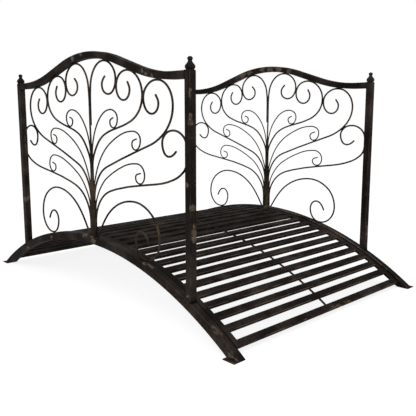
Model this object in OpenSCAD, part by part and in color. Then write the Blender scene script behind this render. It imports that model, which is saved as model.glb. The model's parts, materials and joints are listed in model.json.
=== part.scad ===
// Arched metal garden footbridge with scrolled side rails.
// X runs along the span (near end +X), Y across it (left rail -Y), Z up from the ground.

/* [Span] */
// Distance between the ends of the stringers on the ground
span = 1570; // [1300:5:2000]
// Height of the top of the stringers at mid-span
rise = 249.5; // [180:0.5:320]
// Distance between the two rails, centre to centre
rail_spacing = 1000; // [700:5:1300]

/* [Tube] */
// Side of the square tube of posts and top rails
tube = 25; // [20:0.5:30]
// Side of the square tube of the stringers
stringer_tube = 30; // [30:0.5:40]
// Bevel of the square tube's corners
tube_corner = 2; // [1:0.1:4]

/* [Feet] */
// Thickness of a foot plate
foot_t = 2; // [2:0.5:6]
// How far a foot plate stands out beyond the stringer's outer face
foot_out = 19; // [10:1:50]

/* [Deck] */
// Width of the flat tube of slats and deck edges
slat_w = 25; // [18:0.5:32]
// Depth of the flat tube of slats and deck edges
slat_t = 12; // [6:0.5:16]
// Gap between two slats, along the arch
slat_gap = 27.7; // [15:0.1:35]
// Wider gap before the last slat of each half
end_gap = 35.8; // [20:0.1:45]
// Least distance from the last slat to the end of the stringers, along the arch
end_margin = 40; // [30:1:80]
// Drop from the top of the stringers to the top of the slats
deck_drop = 4.5; // [0.5:0.5:6]
// Width and depth of the short ties between the slats at mid-width
tie_d = 6; // [4:0.5:8]
// Drop from the top of the slats to the top of the ties
tie_drop = 1; // [0.5:0.5:4]

/* [Railing] */
// Distance from the end of the span in to a post's centre
post_inset = 225; // [180:5:280]
// Height of the top of the posts above the ground
post_top = 839; // [700:1:1000]
// Height of the top rail's crown above its level ends
crown_rise = 94; // [70:1:120]
// Steepest slope of the top rail over its average slope
rail_bend = 1.6; // [1.2:0.05:1.9]
// Part of the top rail's bending that lies in the crown, the rest in the haunches
crown_part = 0.54; // [0.4:0.01:0.6]
// Length of the level end of the top rail, from the post's centre
level_run = 57; // [40:1:64]

/* [Finials] */
// Height of a finial
finial_h = 40; // [30:1:60]
// Diameter of a finial's bulb
bulb_d = 31; // [22:0.5:40]
// Diameter of a finial's ball
ball_d = 15; // [10:0.5:20]
// Diameter of a finial's neck
neck_d = 11; // [6:0.5:14]
// Thickness of a finial's collar
collar_h = 4; // [2:0.5:8]
// Step from the post's face in to the collar
collar_inset = 1; // [0.5:0.5:3]
// Height of the bulb's round part over its diameter
bulb_flat = 0.45; // [0.35:0.05:0.6]

/* [Scrolls] */
// Diameter of the main scroll rods
rod_d = 6; // [4:0.1:8]
// Diameter of the thin tendril rods
thin_d = 4.5; // [3:0.1:6]
// Room for the weld between pieces that touch
weld_gap = 0.2; // [0.1:0.05:0.5]

/* [Hidden] */
$fn = 48;
arch_fn = 360;
arch_overrun = 2;
bronze = [0.13, 0.11, 0.10];
bronze_rubbed = [0.20, 0.16, 0.13];
left = -1;
right = 1;
near = 1;
far = -1;

// Arch of the stringers: one circle through both ends and the crest
half_span = span / 2;
arch_r = (half_span * half_span + rise * rise) / (2 * rise);
arch_z = rise - arch_r;
rail_y = rail_spacing / 2;
foot_angle = acos(-arch_z / arch_r);
sole_x = sqrt(pow(arch_r - stringer_tube, 2) - arch_z * arch_z);
end_x = sqrt(arch_r * arch_r - pow(foot_t - arch_z, 2));

// Deck: as many slats as fit on each half, then a last one after a wider gap
deck_r = arch_r - deck_drop;
inner_y = rail_y - stringer_tube / 2;
slat_pitch = slat_w + slat_gap;
slat_len = 2 * (inner_y - slat_w - weld_gap);
slat_room = deck_r * foot_angle * PI / 180 - end_margin - slat_w - end_gap + slat_gap / 2;
even_slats = floor(slat_room / slat_pitch);
slats_per_half = even_slats + 1;
groups_per_half = 3;
last_slat_s = even_slats * slat_pitch - slat_gap / 2 + end_gap + slat_w / 2;
function slat_angle(i) = (i < even_slats ? (i + 0.5) * slat_pitch : last_slat_s) / deck_r * 180 / PI;
deck_angle = (last_slat_s + slat_w / 2) / deck_r * 180 / PI;

// Railing
post_x = half_span - post_inset;
clear_half = post_x - tube / 2;
level_z = post_top - tube / 2;
crown_z = level_z + crown_rise;
rail_run = post_x - level_run;
slope_angle = rail_bend * atan(crown_rise / rail_run);
bend_r = (rail_run * sin(slope_angle) - crown_rise * cos(slope_angle)) / (1 - cos(slope_angle));
crown_r = crown_part * bend_r;
haunch_r = bend_r - crown_r;
crown_end_x = crown_r * sin(slope_angle);
haunch_start_x = rail_run - haunch_r * sin(slope_angle);
slope_z = crown_z - crown_r * (1 - cos(slope_angle));

// Slope in degrees, and height of the centre line, of the top rail at distance x from mid-span
function rail_fall(x) =
    x < crown_end_x ? asin(x / crown_r)
    : x < haunch_start_x ? slope_angle
    : x < rail_run ? asin((rail_run - x) / haunch_r)
    : 0;
function rail_mid_z(x) =
    x < crown_end_x ? crown_z - crown_r + sqrt(crown_r * crown_r - x * x)
    : x < haunch_start_x ? slope_z - (x - crown_end_x) * tan(slope_angle)
    : x < rail_run ? level_z + haunch_r - sqrt(haunch_r * haunch_r - pow(rail_run - x, 2))
    : level_z;
function arch_fall(x) = asin(x / arch_r);
function arch_top_z(x) = arch_z + sqrt(arch_r * arch_r - x * x);

// Stations [x, z, heading] along the top rail: crown, straight slope, haunch and level end
bend_step_count = 10;
half_rail = [
    for (i = [0 : bend_step_count])
        let (a = slope_angle * i / bend_step_count)
        [crown_r * sin(a), crown_z - crown_r * (1 - cos(a)), -a],
    for (i = [bend_step_count : -1 : 0])
        let (a = slope_angle * i / bend_step_count)
        [rail_run - haunch_r * sin(a), level_z + haunch_r * (1 - cos(a)), -a],
    [clear_half, level_z, 0]
];
rail_line = [
    for (i = [len(half_rail) - 1 : -1 : 1])
        [-half_rail[i][0], half_rail[i][1], -half_rail[i][2]],
    each half_rail
];

// Square tube's section with bevelled corners
tube_half = tube / 2;
function tube_outline(side) =
    let (
        half = side / 2,
        flat = half - tube_corner
    )
    [
        [half, -flat],
        [half, flat],
        [flat, half],
        [-flat, half],
        [-half, flat],
        [-half, -flat],
        [-flat, -half],
        [flat, -half]
    ];

// A scroll is a row of stations [x, z, heading], each pair joined by two tangent arcs.
// Places on the panel are hundredths of its clear half width and of its height at mid-span.
panel_h = crown_z - tube / 2 - rise;
function px(part) = clear_half * part / 100;
function pz(part) = rise + panel_h * part / 100;
function unit(a) = [cos(a), sin(a)];
function place(s) = [s[0], s[1]];
function moved(s, dist) = [s[0] - dist * sin(s[2]), s[1] + dist * cos(s[2]), s[2]];
function turned(s) = [s[0], s[1], s[2] + 180];

// Station under the top rail, and station on top of the stringer, both heading back to mid-span
function under_rail(x, d) =
    moved([x, rail_mid_z(x), 180 - rail_fall(x)], tube_half + d / 2 + weld_gap);
function on_stringer(x, d) =
    moved([x, arch_top_z(x), 180 - arch_fall(x)], -d / 2 - weld_gap);

// Station of the second rod where its back rests on the first one at station s
function resting_on(s) = turned(moved(s, (rod_d + thin_d) / 2 + weld_gap));

// Rods of the trunk stand side by side on the crest of the stringer, the stem in the middle
trunk_pitch = rod_d + weld_gap;
function trunk_x(i) = i * trunk_pitch;
function crotch_x(i) = trunk_x(i - 0.5) + (thin_d + weld_gap) / 2;
function trunk_foot(i) = [trunk_x(i), arch_top_z(trunk_x(i)) + weld_gap, 90];

touch = (rod_d + weld_gap) / 2;
rod_facet_count = 6;
facet_angle = 20;
upper_seat = [px(28.2), pz(61.8), 12];
middle_seat = [px(52.3), pz(50.9), 17];
side_seat = [px(55.6), pz(33.5), 8];

// Where two neighbouring scrolls touch, in the heading of the one nearer to mid-span
crown_meets_upper = [px(31.3), pz(85.9), 256];
upper_meets_middle = [px(59.3), pz(78.4), 85];
middle_meets_side = [px(79.9), pz(60.6), 40];

crown_path = [
    [trunk_x(0.5), pz(63.4), 90],
    [trunk_x(0.5), pz(77), 90],
    [px(6.1), pz(94), 48],
    turned(under_rail(px(20.5), rod_d)),
    moved(crown_meets_upper, -touch),
    [px(22.6), pz(80.4), 180],
    [px(15.3), pz(85.4), 90],
    [px(18.8), pz(89.8), 35]
];
stem_path = [
    trunk_foot(0),
    [trunk_x(0), pz(45), 90],
    each crown_path
];
upper_path = [
    trunk_foot(1),
    [trunk_x(1), pz(40), 90],
    [px(8.3), pz(53.4), 50],
    upper_seat,
    [px(46.5), pz(66.2), 22],
    moved(upper_meets_middle, touch),
    under_rail(px(48.4), rod_d),
    moved(crown_meets_upper, touch),
    [px(39.4), pz(77), 0],
    [px(46), pz(82.2), 90],
    [px(44), pz(86.1), 122]
];
middle_path = [
    trunk_foot(2),
    [trunk_x(2), pz(21), 90],
    [px(9.9), pz(36.3), 46],
    [px(19.5), pz(41.3), 20],
    middle_seat,
    moved(middle_meets_side, touch),
    [px(87.4), pz(74), 90],
    under_rail(px(75.3), rod_d),
    [px(66.4), pz(85.1), 206],
    turned(moved(upper_meets_middle, -touch)),
    [px(68), pz(70), 0],
    [px(74.3), pz(75), 90],
    [px(71.9), pz(79), 128]
];
side_path = [
    trunk_foot(3),
    [trunk_x(3), pz(8), 90],
    [px(16), pz(25.6), 30],
    [px(29.3), pz(29.5), 14],
    side_seat,
    [px(87.5), pz(38.7), 20.5],
    [clear_half - touch, pz(49.2), 90],
    [clear_half - touch, pz(53.8), 90],
    [px(87.8), pz(62.2), 180],
    turned(moved(middle_meets_side, -touch)),
    [px(77.4), pz(56), 270],
    [px(83.3), pz(49.6), 0],
    [px(89.8), pz(52.2), 45]
];
base_start_x = px(5.4);
base_lean = 57;
base_path = [
    [base_start_x, arch_top_z(base_start_x) + rod_d / 2 * cos(base_lean) + weld_gap, base_lean],
    [px(15.5), pz(11.9), 49],
    [px(48.5), pz(24.35), 0],
    [px(73.8), pz(6.4), 270],
    on_stringer(px(57), rod_d),
    [px(49.7), pz(3.4), 90],
    [px(55.8), pz(9.1), 0],
    [px(63.3), pz(3.6), 292]
];
upper_tendril_path = [
    [crotch_x(1), pz(45.5), 90],
    [px(11.5), pz(67.5), 45],
    [px(24.3), pz(72.2), 0],
    [px(32), pz(67.3), 270],
    resting_on(upper_seat),
    [px(23.5), pz(65.5), 90],
    [px(27.2), pz(67.8), 13]
];
middle_tendril_path = [
    [crotch_x(2), pz(27), 90],
    [px(5.2), pz(36.4), 68],
    [px(22.2), pz(53.7), 32],
    [px(48.7), pz(61.1), 0],
    [px(56.1), pz(56.6), 270],
    resting_on(middle_seat),
    [px(47.3), pz(54.4), 90],
    [px(52), pz(57.2), 10]
];
lower_tendril_path = [
    [crotch_x(3), pz(14.5), 90],
    [px(12.7), pz(31.1), 46],
    [px(24.6), pz(37.8), 27],
    [px(52), pz(44.5), 0],
    [px(59.8), pz(38.8), 270],
    resting_on(side_seat),
    [px(50.5), pz(37.2), 90],
    [px(55.4), pz(39.7), 10]
];

// Where the two tangent arcs between stations s and e meet
function meeting(s, e) =
    let (
        u = unit(s[2]),
        v = unit(e[2]),
        w = place(e) - place(s),
        k = 1 - u * v,
        m = w * (u + v),
        d = k < 0.000001 ? w * w / (4 * (w * v)) : (sqrt(m * m + 2 * k * (w * w)) - m) / (2 * k)
    )
    (place(s) + place(e) + d * (u - v)) / 2;

// Stations along the arc that leaves p with heading a and arrives at q
function arc_stations(p, a, q) =
    let (
        w = q - p,
        n = [-sin(a), cos(a)],
        bow = w * n,
        turn = 2 * atan2(bow, w * unit(a)),
        steps = max(1, ceil(abs(turn) / facet_angle)),
        r = abs(bow) < 0.001 ? 0 : w * w / (2 * bow)
    )
    [
        for (i = [1 : steps])
            let (
                h = a + turn * i / steps,
                at = r == 0 ? p + w * i / steps : p + n * r + r * [sin(h), -cos(h)]
            )
            [at[0], at[1], h]
    ];

// All stations of a scroll, close enough together to sweep a rod along them
function fine_stations(path) = [
    path[0],
    for (i = [0 : len(path) - 2])
        let (
            s = path[i],
            e = path[i + 1],
            first = arc_stations(place(s), s[2], meeting(s, e)),
            j = first[len(first) - 1]
        )
        each concat(first, arc_stations(place(j), j[2], place(e)))
];

// Profile carried round the arch's axis, centred on the crest, from angle -a to +a
module along_arch(r, a) {
    translate([0, 0, arch_z])
        rotate([90, 0, 0])
            rotate([0, 0, 90 - a])
                rotate_extrude(angle = 2 * a, $fn = arch_fn)
                    translate([r, 0])
                        children();
}

// Piece turned from the crest round the arch's axis
module on_arch(a) {
    translate([0, 0, arch_z])
        rotate([0, a, 0])
            children();
}

// Section of points [out, across] swept along a row of stations in the plane of a rail
module sweep(stations, section) {
    sides = len(section);
    points = [
        for (s = stations)
            for (c = section)
                [s[0] - c[0] * sin(s[2]), s[1] + c[0] * cos(s[2]), c[1]]
    ];
    last = (len(stations) - 1) * sides;
    walls = [
        for (i = [0 : len(stations) - 2])
            for (k = [0 : sides - 1])
                let (
                    a = i * sides + k,
                    b = i * sides + (k + 1) % sides
                )
                [a, b, b + sides, a + sides]
    ];
    start_cap = [for (k = [sides - 1 : -1 : 0]) k];
    end_cap = [for (k = [0 : sides - 1]) last + k];
    rotate([90, 0, 0])
        polyhedron(points, concat([start_cap], walls, [end_cap]));
}

// Section of a rod with rod_facet_count flats, d across them
function rod_outline(d) = [
    for (k = [0 : rod_facet_count - 1])
        d / 2 / cos(180 / rod_facet_count) * unit(360 * (k + 0.5) / rod_facet_count)
];

// A rod bent along a path, on the rail of one side; end is near for the path as written
module bent_rod(path, d, side, end) {
    color(bronze_rubbed)
        translate([0, side * rail_y, 0])
            mirror([end == near ? 0 : 1, 0, 0])
                sweep(fine_stations(path), rod_outline(d));
}

// A scroll and its mirror image
module scrolls(path, d, side) {
    bent_rod(path, d, side, near);
    bent_rod(path, d, side, far);
}

// The two crown scrolls: one rod runs down to the stringer as the stem, the other ends beside it
module crown_scrolls(side) {
    bent_rod(stem_path, rod_d, side, side > 0 ? near : far);
    bent_rod(crown_path, rod_d, side, side > 0 ? far : near);
}

module stringer(side) {
    color(bronze)
        translate([0, side * rail_y, 0])
            intersection() {
                along_arch(arch_r - stringer_tube / 2, foot_angle + arch_overrun)
                    polygon(tube_outline(stringer_tube));
                translate([-span, -stringer_tube, foot_t])
                    cube([2 * span, 2 * stringer_tube, rise]);
            }
}

module foot(end, side) {
    foot_w = stringer_tube + foot_out;
    color(bronze)
        translate([end > 0 ? sole_x : -end_x, side > 0 ? inner_y : -inner_y - foot_w, 0])
            cube([end_x - sole_x, foot_w, foot_t]);
}

module deck_edge(side) {
    color(bronze_rubbed)
        translate([0, side * (inner_y - slat_w / 2), 0])
            along_arch(deck_r - slat_t / 2, deck_angle)
                square([slat_t, slat_w], center = true);
}

// Tie between the slats at angles a and b, as long as the gap at its underside
module tie(a, b) {
    lean = (b - a) / 2;
    low_r = deck_r - tie_drop - tie_d;
    half_len = low_r * tan(lean) - slat_w / 2 / cos(lean) - weld_gap;
    on_arch((a + b) / 2)
        translate([-half_len, -tie_d / 2, low_r])
            cube([2 * half_len, tie_d, tie_d]);
}

module center_ties() {
    color(bronze_rubbed) {
        tie(-slat_angle(0), slat_angle(0));
        for (i = [1 : even_slats]) {
            tie(slat_angle(i - 1), slat_angle(i));
            tie(-slat_angle(i), -slat_angle(i - 1));
        }
    }
}

module slats(end, group) {
    first = floor(slats_per_half * group / groups_per_half);
    last = floor(slats_per_half * (group + 1) / groups_per_half) - 1;
    color(bronze_rubbed)
        for (i = [first : last])
            on_arch(end * slat_angle(i))
                translate([-slat_w / 2, -slat_len / 2, deck_r - slat_t])
                    cube([slat_w, slat_len, slat_t]);
}

module post(end, side) {
    color(bronze)
        translate([end * post_x, side * rail_y, 0])
            difference() {
                linear_extrude(post_top)
                    polygon(tube_outline(tube));
                translate([-end * post_x, tube, arch_z])
                    rotate([90, 0, 0])
                        cylinder(r = arch_r, h = 2 * tube, $fn = arch_fn);
            }
}

module finial(end, side) {
    ball_z = finial_h - ball_d / 2;
    neck_z = ball_z - sqrt(ball_d * ball_d - neck_d * neck_d) / 2;
    color(bronze)
        translate([end * post_x, side * rail_y, post_top])
            rotate_extrude()
                intersection() {
                    union() {
                        square([tube_half - collar_inset, collar_h]);
                        hull() {
                            translate([0, collar_h + bulb_d * bulb_flat / 2])
                                scale([1, bulb_flat])
                                    circle(d = bulb_d);
                            translate([0, collar_h])
                                square([neck_d / 2, neck_z - collar_h]);
                        }
                        translate([0, ball_z])
                            circle(d = ball_d);
                    }
                    square([bulb_d, finial_h]);
                }
}

module top_rail(side) {
    color(bronze)
        translate([0, side * rail_y, 0])
            sweep(rail_line, tube_outline(tube));
}

stringer(left);  // left_stringer
stringer(right);  // right_stringer
foot(near, left);  // left_near_foot
foot(far, left);  // left_far_foot
foot(near, right);  // right_near_foot
foot(far, right);  // right_far_foot
deck_edge(left);  // left_deck_edge
deck_edge(right);  // right_deck_edge
center_ties();
slats(near, 2);  // near_end_slats
slats(near, 1);  // near_middle_slats
slats(near, 0);  // near_crest_slats
slats(far, 0);  // far_crest_slats
slats(far, 1);  // far_middle_slats
slats(far, 2);  // far_end_slats
post(near, left);  // left_near_post
post(far, left);  // left_far_post
post(near, right);  // right_near_post
post(far, right);  // right_far_post
finial(near, left);  // left_near_finial
finial(far, left);  // left_far_finial
finial(near, right);  // right_near_finial
finial(far, right);  // right_far_finial
top_rail(left);  // left_top_rail
top_rail(right);  // right_top_rail
crown_scrolls(left);  // left_crown_scrolls
crown_scrolls(right);  // right_crown_scrolls
scrolls(upper_path, rod_d, left);  // left_upper_scrolls
scrolls(upper_path, rod_d, right);  // right_upper_scrolls
scrolls(middle_path, rod_d, left);  // left_middle_scrolls
scrolls(middle_path, rod_d, right);  // right_middle_scrolls
scrolls(side_path, rod_d, left);  // left_side_scrolls
scrolls(side_path, rod_d, right);  // right_side_scrolls
scrolls(base_path, rod_d, left);  // left_base_scrolls
scrolls(base_path, rod_d, right);  // right_base_scrolls
scrolls(upper_tendril_path, thin_d, left);  // left_upper_tendrils
scrolls(upper_tendril_path, thin_d, right);  // right_upper_tendrils
scrolls(middle_tendril_path, thin_d, left);  // left_middle_tendrils
scrolls(middle_tendril_path, thin_d, right);  // right_middle_tendrils
scrolls(lower_tendril_path, thin_d, left);  // left_lower_tendrils
scrolls(lower_tendril_path, thin_d, right);  // right_lower_tendrils
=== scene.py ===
# %% [markdown]
# # An arched garden footbridge, dressed for its portrait
#
# The bridge is a kit of bent steel: square tube for the arch, the posts and the top rails,
# flat tube for the deck, and round rod for the scrolls. This lesson takes the solids of the
# bridge as a fixed frame and dresses them: every tube gets its rolled corners, every rod its
# round section, and all of it a dark bronze paint that has been rubbed back to tan.
#
# Nearly everything here is one idea used many times: a section is carried along a path.
# The first cell loads the frame.

import json
import math

import bpy
import numpy as np
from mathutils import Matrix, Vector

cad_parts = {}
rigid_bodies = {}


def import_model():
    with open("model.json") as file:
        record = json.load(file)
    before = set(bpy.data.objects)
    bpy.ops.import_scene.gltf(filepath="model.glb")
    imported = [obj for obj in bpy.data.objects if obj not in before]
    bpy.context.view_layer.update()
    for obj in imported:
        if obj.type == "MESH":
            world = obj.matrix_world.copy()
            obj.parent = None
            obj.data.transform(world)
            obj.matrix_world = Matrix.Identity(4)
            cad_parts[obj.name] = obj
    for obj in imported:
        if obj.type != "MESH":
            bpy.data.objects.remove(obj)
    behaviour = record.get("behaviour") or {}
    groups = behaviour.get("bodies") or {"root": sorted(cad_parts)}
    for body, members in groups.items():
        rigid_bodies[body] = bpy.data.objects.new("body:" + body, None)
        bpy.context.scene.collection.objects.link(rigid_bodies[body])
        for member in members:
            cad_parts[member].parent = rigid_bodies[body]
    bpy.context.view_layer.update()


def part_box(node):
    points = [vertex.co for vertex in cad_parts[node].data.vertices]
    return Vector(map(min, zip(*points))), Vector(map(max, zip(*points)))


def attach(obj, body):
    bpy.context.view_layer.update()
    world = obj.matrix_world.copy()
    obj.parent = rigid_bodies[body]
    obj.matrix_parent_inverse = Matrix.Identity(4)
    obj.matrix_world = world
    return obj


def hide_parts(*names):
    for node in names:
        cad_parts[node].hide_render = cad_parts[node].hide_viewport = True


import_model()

# %% [markdown]
# ## Measure the frame
#
# Sizes that the solids already have are read from them, so the dressing fits by itself.
# They could be typed in again, but then a change of the solids would leave the dressing
# behind. The stringers are one circle: a chord of half length h that lies a height r below
# the crest gives its radius as (h squared + r squared) / 2r. Only what a box cannot tell,
# such as the stock of the rods and the pitch of the slats, is written down as a value.

# %% Driving sizes
post_low, post_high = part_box("left_near_post")
tube = post_high.x - post_low.x
half_tube = tube / 2
post_x = (post_low.x + post_high.x) / 2
rail_y = -(post_low.y + post_high.y) / 2
post_top = post_high.z
foot_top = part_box("left_near_foot")[1].z
stringer_low, stringer_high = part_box("left_stringer")
stringer_tube = stringer_high.y - stringer_low.y
rise = stringer_high.z
cut_rise = rise - foot_top
arch_r = (stringer_high.x**2 + cut_rise**2) / (2 * cut_rise)
arch_z = rise - arch_r
crown_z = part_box("left_top_rail")[1].z - half_tube
level_z = post_top - half_tube
clear_half = post_x - half_tube
panel_h = crown_z - half_tube - rise
inner_y = rail_y - stringer_tube / 2

SIDES = {"left": -1, "right": 1}
ENDS = {"near": 1, "far": -1}
CORNERS = {f"{side}_{end}": (ENDS[end], SIDES[side]) for side in SIDES for end in ENDS}
WELD_GAP = 0.0002
print("tube", round(tube, 4), "arch radius", round(arch_r, 3), "panel height", round(panel_h, 3))

# %% [markdown]
# ## From a grid of points to a skin
#
# A swept piece is a grid: rows go along the path and columns go round the section.
# The faces are the grid's little squares, so their corner numbers follow from row and
# column alone and numpy can write all of them at once. The two open ends are closed by
# one face each. Faces should look outwards: the sum of p . (q x r) over all triangles of
# a closed skin is six times its volume, so a negative sum shows a skin that is inside out,
# and its faces are then read backwards. Every skin gets a UV map in metres, so that
# scratches can run along the metal, and a value called rub_and_shade: above 0 on the
# corners where paint wears through first, and -1 in seams, where shade is painted into
# the coat as black.


# %% Skin helper
def six_volumes(points, quads, caps):
    """Sum of p . (q x r) over the triangles of all faces, which is six times the volume inside."""
    fans = [np.stack([np.full(len(cap) - 2, cap[0]), cap[1:-1], cap[2:]], -1) for cap in caps]
    triangles = np.concatenate([quads[:, [0, 1, 2]], quads[:, [0, 2, 3]], *fans])
    p, q, r = points[triangles].transpose(1, 0, 2)
    return np.sum(p * np.cross(q, r))


def skin(grid, around, rub_and_shade, loop=False):
    """Vertices, faces, UVs and rub of one closed sweep.

    grid is rows x columns x 3. Face (i, k) joins columns k and k+1 of rows i and i+1, and the
    last column joins the first. around holds the distance round the section at each column,
    with the full girth at its end. In a loop the last row joins the first one too, and there
    are no end faces.
    """
    rows, columns = grid.shape[:2]
    points = grid.reshape(-1, 3)
    i, k = np.meshgrid(np.arange(rows if loop else rows - 1), np.arange(columns), indexing="ij")
    row, next_row = i * columns, (i + 1) % rows * columns
    across = (k + 1) % columns
    quads = np.stack([row + k, row + across, next_row + across, next_row + k], -1).reshape(-1, 4)
    caps = [] if loop else [np.arange(columns)[::-1], (rows - 1) * columns + np.arange(columns)]
    middle = grid.mean(1)
    step = np.linalg.norm(np.roll(middle, -1, axis=0) - middle, axis=1)
    along = np.concatenate([[0.0], np.cumsum(step)])
    u = np.stack([along[i], along[i], along[i + 1], along[i + 1]], -1)
    v = np.stack([around[k], around[k + 1], around[k + 1], around[k]], -1)
    uv = np.stack([u, v], -1).reshape(-1, 4, 2)
    order = 1 if six_volumes(points - points[0], quads, caps) > 0 else -1
    return {
        "points": points,
        "quads": quads[:, ::order],
        "uv": uv[:, ::order].reshape(-1, 2),
        "caps": [cap[::order] for cap in caps],
        "rub_and_shade": np.broadcast_to(rub_and_shade, (rows, columns)).reshape(-1),
    }


# %% [markdown]
# ## Rubbed places
#
# The real finish is nearly black with a warm cast, and it was rubbed with a rag so that tan
# shows in patches a few centimetres long. They could be painted on an image, but a list of
# places is shorter and stays sharp at any size. The most visible patches are listed by the
# piece they lie on, each with its reach. Every point of the bridge then gets a value called
# rag that is 1 in the middle of such a place and 0 past its reach.


# %% Rubbed places
def places(centre_x, centre_y, *rows):
    """Rubbed places in metres, from rows of along, across, height and reach in millimetres.

    Along and across count from the piece's own centre line, and heights from the soles.
    """
    return np.array(rows) / 1000 + [centre_x, centre_y, 0, 0]


RUBBED_PLACES = {
    "left_near_post": places(
        post_x, -rail_y,
        (12, -11, 779, 13), (12, -11, 766, 14), (12, -10, 707, 13), (12, -10, 694, 15),
        (12, -10, 681, 13), (-4, -12, 497, 16), (12, -2, 427, 18), (13, 1, 369, 16),
        (13, 1, 353, 18), (13, 1, 335, 18), (13, 0, 321, 13), (-2, -12, 146, 12),
    ),
    "left_far_post": places(-post_x, -rail_y, (12, -5, 330, 26)),
    "right_near_post": places(post_x, rail_y, (12, 2, 612, 22), (12, 7, 218, 26), (12, 6, 192, 24)),
    "left_top_rail": places(
        0, -rail_y,
        (-91, -12, 916, 18), (-31, -12, 925, 22), (338, -12, 845, 15), (360, -12, 836, 13),
        (392, -12, 828, 14),
    ),
    "right_top_rail": places(
        0, rail_y,
        (-160, -12, 898, 34), (-105, -12, 910, 28), (-30, -12, 924, 34), (25, -12, 922, 36),
        (77, -12, 920, 34), (140, -12, 906, 26),
    ),
    "left_stringer": places(
        0, -rail_y,
        (-541, -15, 107, 20), (-312, -15, 193, 18), (-54, -15, 244, 22), (-36, -14, 247, 18),
        (12, -15, 238, 26), (22, -15, 229, 18), (330, -10, 209, 12), (342, -8, 206, 14),
        (355, -6, 203, 14), (368, -4, 199, 13), (670, -6, 73, 15), (681, -5, 67, 17),
        (692, -4, 60, 16), (748, -15, 12, 16),
    ),
    "right_stringer": places(0, rail_y, (10, -10, 249, 34)),
    "left_near_foot": places(0, -rail_y, (770, -28, 3, 30)),
    "near_end_slats": places(
        0, 0,
        (742, -144, 24, 20), (742, 20, 24, 22), (742, 58, 24, 22), (742, 96, 24, 22),
        (742, 126, 24, 18), (640, 274, 104, 26),
    ),
}
RUBBED = np.concatenate(list(RUBBED_PLACES.values()))


def rag_value(points):
    """Greatest of 1 - (distance / reach) squared over the rubbed places, and 0 past their reach."""
    gap = np.linalg.norm(points[:, None] - RUBBED[None, :, :3], axis=2) / RUBBED[:, 3]
    return np.clip(1 - gap**2, 0, 1).max(1)


print("rubbed places:", {piece: len(rows) for piece, rows in RUBBED_PLACES.items()})

# %% [markdown]
# ## From skins to a piece
#
# A piece is one mesh of one or more skins, such as the five slats of a group. Separate
# objects could be joined, but one list of points and faces leaves nothing behind. The
# object stays at the origin, rides on the bridge and stands for the solids that it hides.
# Every skin's map is shifted by its own amount, so that no two tubes wear alike.

# %% Piece helper
PIECE_SHIFT = np.array([1.7, 0.9])
SKIN_SHIFT = np.array([0.43, 0.31])
SMOOTH_BELOW = math.radians(40)


def make_piece(name, skins, slot, nodes):
    """One mesh of several skins in a slot's paint, riding on the bridge and standing for the nodes."""
    points, faces, uv, rub_and_shade, start = [], [], [], [], 0
    for number, part in enumerate(skins):
        shift = PIECE_SHIFT * len(bpy.data.objects) + SKIN_SHIFT * number
        points.append(part["points"])
        rub_and_shade.append(part["rub_and_shade"])
        faces += (part["quads"] + start).tolist() + [(cap + start).tolist() for cap in part["caps"]]
        uv += [part["uv"] + shift] + [np.tile(shift, (len(cap), 1)) for cap in part["caps"]]
        start += len(part["points"])
    points = np.concatenate(points)
    uv = np.concatenate(uv)
    mesh = bpy.data.meshes.new(name)
    mesh.from_pydata(points, [], faces)
    mesh.uv_layers.new(name="metal").data.foreach_set("uv", uv.astype(np.float32).ravel())
    for label, value in (("rub_and_shade", np.concatenate(rub_and_shade)), ("rag", rag_value(points))):
        attribute = mesh.attributes.new(label, "FLOAT", "POINT")
        attribute.data.foreach_set("value", value.astype(np.float32))
    mesh.shade_smooth()
    mesh.set_sharp_from_angle(angle=SMOOTH_BELOW)
    mesh.materials.append(PAINTS[slot])
    piece = bpy.data.objects.new(name, mesh)
    bpy.context.scene.collection.objects.link(piece)
    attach(piece, "root")
    if nodes:
        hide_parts(*nodes)
    print(name, "-", len(mesh.vertices), "points,", len(mesh.polygons), "faces")


def dress(node, ending, skins, slot):
    """Piece that stands for one node and is named after it."""
    make_piece(f"{node}_{ending}", skins, slot, [node])


# %% [markdown]
# ## The paint itself
#
# The real paint is a thin satin coat, cloudy and a little streaked. The shader builds it in
# layers. The coat goes from near-black to brown by a wide cloud, a fine grain and hairlines
# that run along the metal, which is the first axis of the UV map. Tan shows in spots where
# stretched flecks, a wide cluster noise and the rag value add up to more than the wear, and
# a finer speck noise breaks each spot up. Where the rub_and_shade value is above 0 it adds a
# broken line of tan along a corner, and where it is below 0 it paints shade: the coat turns
# black, as in the shadow of a seam.
# An image could hold all this, but noises in metres keep their size on every piece.

# %% Paint values
# Painted shade: seams, joints, weld beads and the feet of the posts are painted towards this black in
# place of their shadow.
SHADE_BLACK = (0.0010, 0.0008, 0.0006, 1.0)
NEAR_BLACK = (0.0076, 0.0058, 0.0051, 1.0)
WARM_BROWN = (0.0370, 0.0282, 0.0238, 1.0)
ROD_BROWN = (0.0640, 0.0455, 0.0320, 1.0)
RUBBED_TAN = (0.160, 0.120, 0.086, 1.0)
SHEEN = 0.025
SHEEN_TINT = (1.0, 0.88, 0.76, 1.0)
RUBBED_SMOOTHER = 0.1
# Each noise is given as scale, detail and roughness.
CLOUD = (8.0, 4.0, 0.6)
CLUSTER = (10.0, 2.0, 0.6)
FLECK = (1.0, 5.0, 0.62)
SPECK = (3.6, 3.0, 0.7)
HAIR = (1.0, 2.0, 0.6)
GRAIN = (240.0, 2.0, 0.6)
DIMPLES = (420.0, 2.0, 0.6)
HAIR_STRETCH = (7.0, 340.0, 1.0)
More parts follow.
